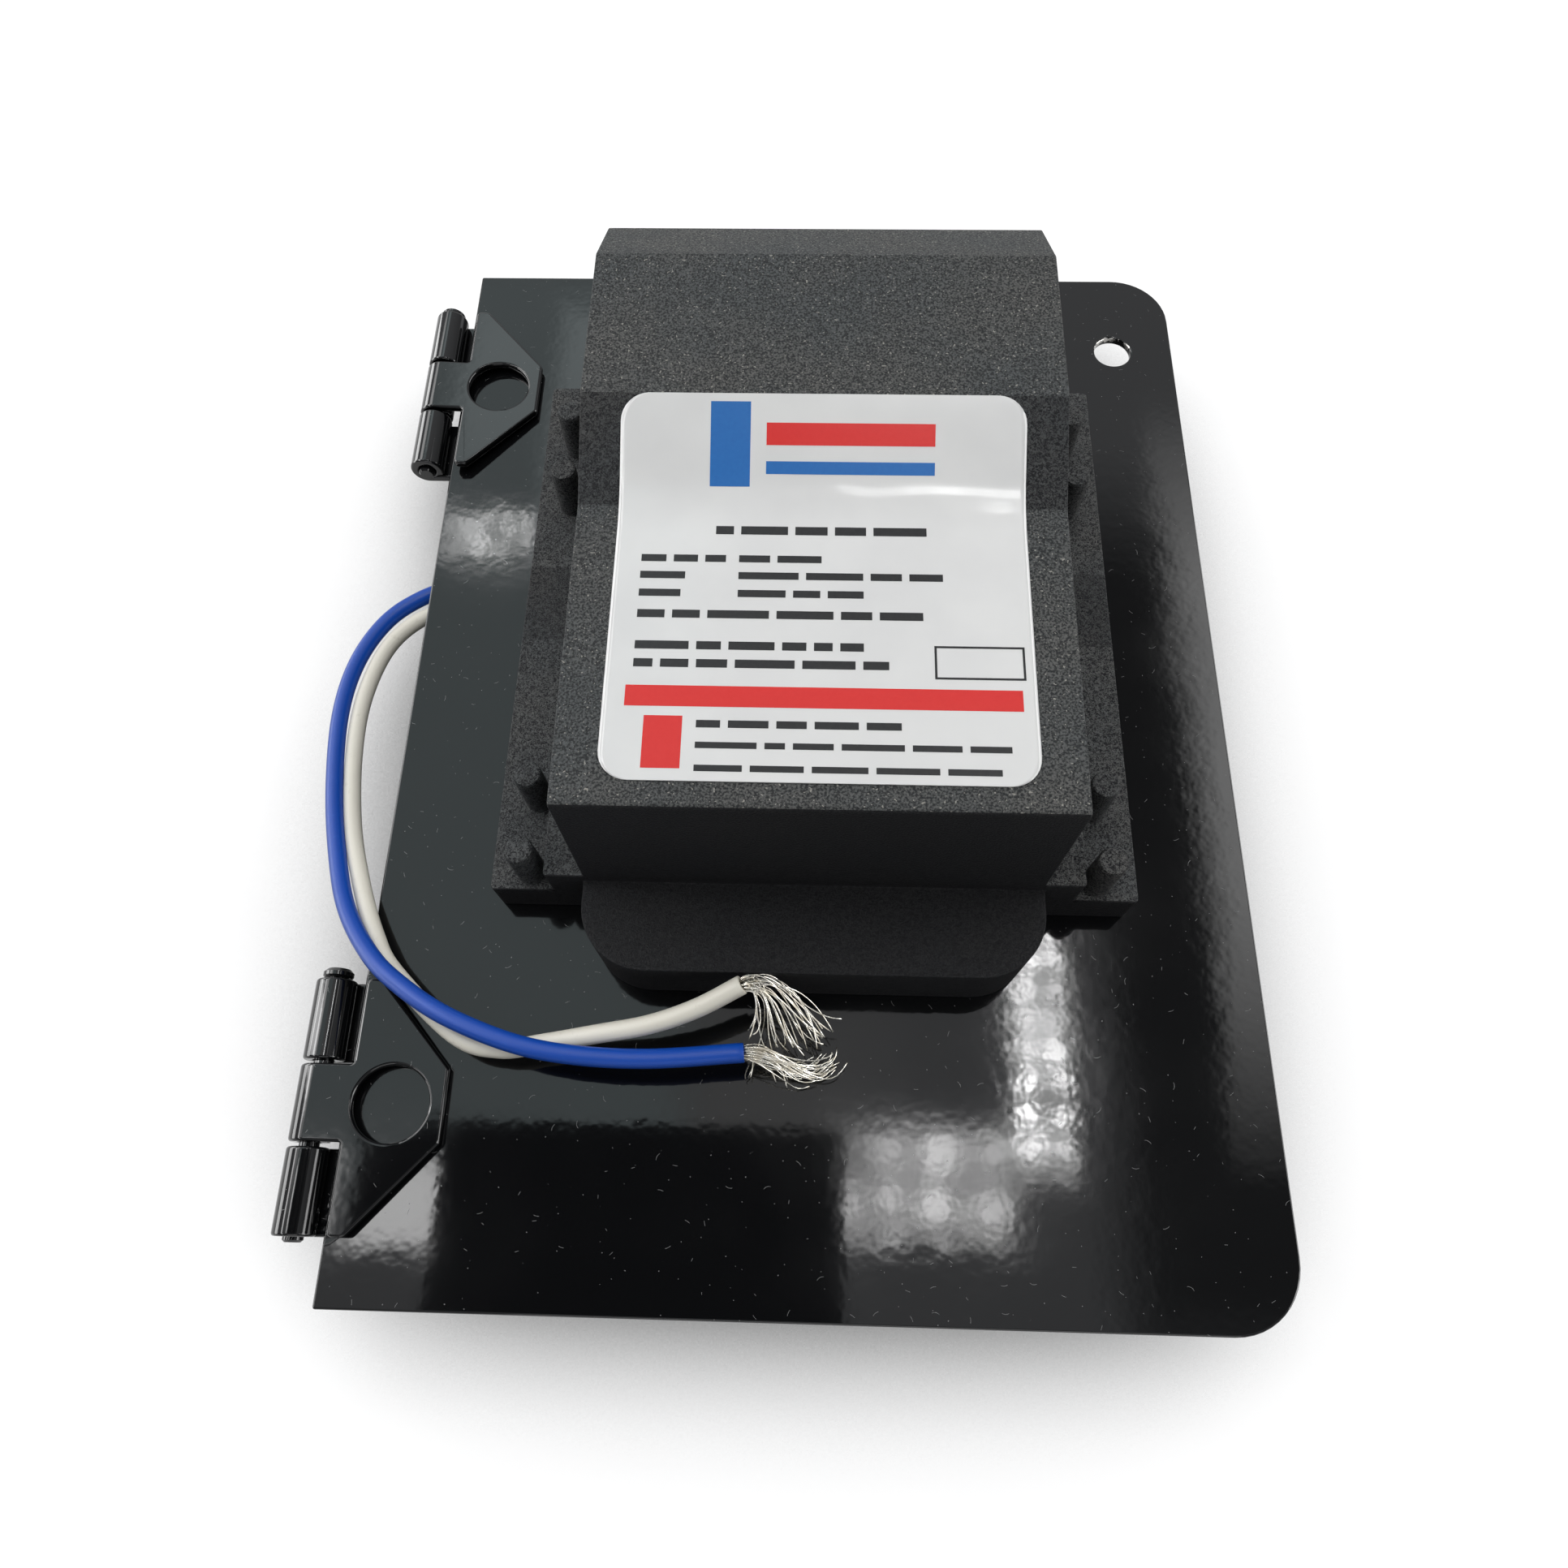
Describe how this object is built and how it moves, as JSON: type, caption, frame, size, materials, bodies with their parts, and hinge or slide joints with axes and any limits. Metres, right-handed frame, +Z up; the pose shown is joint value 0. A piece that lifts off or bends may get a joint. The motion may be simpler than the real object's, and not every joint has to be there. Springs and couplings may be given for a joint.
{
  "type": "ignition transformer",
  "caption": "Potted electronic ignition transformer on a hinged steel plate, with high voltage bushings below and stripped blue and white supply leads.",
  "frame": {"origin": "middle of the outline from above, without the leads, at the bushings' lower ends", "axes": "+Z up, away from the bushings; +Y along the hinge side, towards the latch hole; -X is the hinge side"},
  "size_m": [0.1402, 0.177, 0.0678],
  "materials": {
    "black_paint": "gloss black paint",
    "case_plastic": "fine textured moulded plastic",
    "label_film": "gloss film",
    "potting_compound": "cast epoxy",
    "zinc_steel": "zinc plated",
    "bushing_ceramic": "glazed",
    "brass": "plain",
    "grommet_nylon": "nylon",
    "green_screw": "green plated",
    "board_laminate": "solder resist",
    "capacitor_sleeve": "shrink sleeve",
    "film_capacitor": "dipped",
    "epoxy_black": "moulded epoxy",
    "copper_enamel": "enamelled wire",
    "aluminium": "plain",
    "ferrite": "ground ferrite",
    "bobbin_plastic": "natural nylon",
    "blue_insulation": "vinyl insulation",
    "white_insulation": "vinyl insulation",
    "tinned_copper": "tinned strands"
  },
  "bodies": {
    "igniter": {"base_plate": "black_paint", "case": "case_plastic", "label": "label_film", "potting": "potting_compound", "case_screws": "zinc_steel", "left_bushing": "bushing_ceramic", "right_bushing": "bushing_ceramic", "left_contact": "brass", "right_contact": "brass", "lead_grommet": "grommet_nylon", "ground_insert": "brass", "ground_screw": "green_screw", "circuit_board": "board_laminate", "filter_capacitor": "capacitor_sleeve", "resonant_capacitor": "film_capacitor", "rectifier": "epoxy_black", "line_choke": "copper_enamel", "heat_sink": "aluminium", "power_transistor": "epoxy_black", "ferrite_core": "ferrite", "primary_bobbin": "bobbin_plastic", "primary_coil": "copper_enamel", "secondary_bobbin": "bobbin_plastic", "secondary_coils": "copper_enamel", "front_fixed_leaf": "black_paint", "front_hinge_pin": "black_paint", "rear_fixed_leaf": "black_paint", "rear_hinge_pin": "black_paint", "blue_lead": "blue_insulation", "white_lead": "white_insulation", "blue_strands": "tinned_copper", "white_strands": "tinned_copper"},
    "front_leaf": {"front_free_leaf": "black_paint"},
    "rear_leaf": {"rear_free_leaf": "black_paint"}
  },
  "joints": [
    {"name": "front_leaf_hinge", "type": "hinge", "parent": "igniter", "child": "front_leaf", "pos_m": [-0.06409, -0.0629, 0.02141], "axis": [0, -1, 0], "range_deg": [0, 270]},
    {"name": "rear_leaf_hinge", "type": "hinge", "parent": "igniter", "child": "rear_leaf", "pos_m": [-0.06409, 0.0605, 0.02141], "axis": [0, -1, 0], "range_deg": [0, 270]}
  ]
}
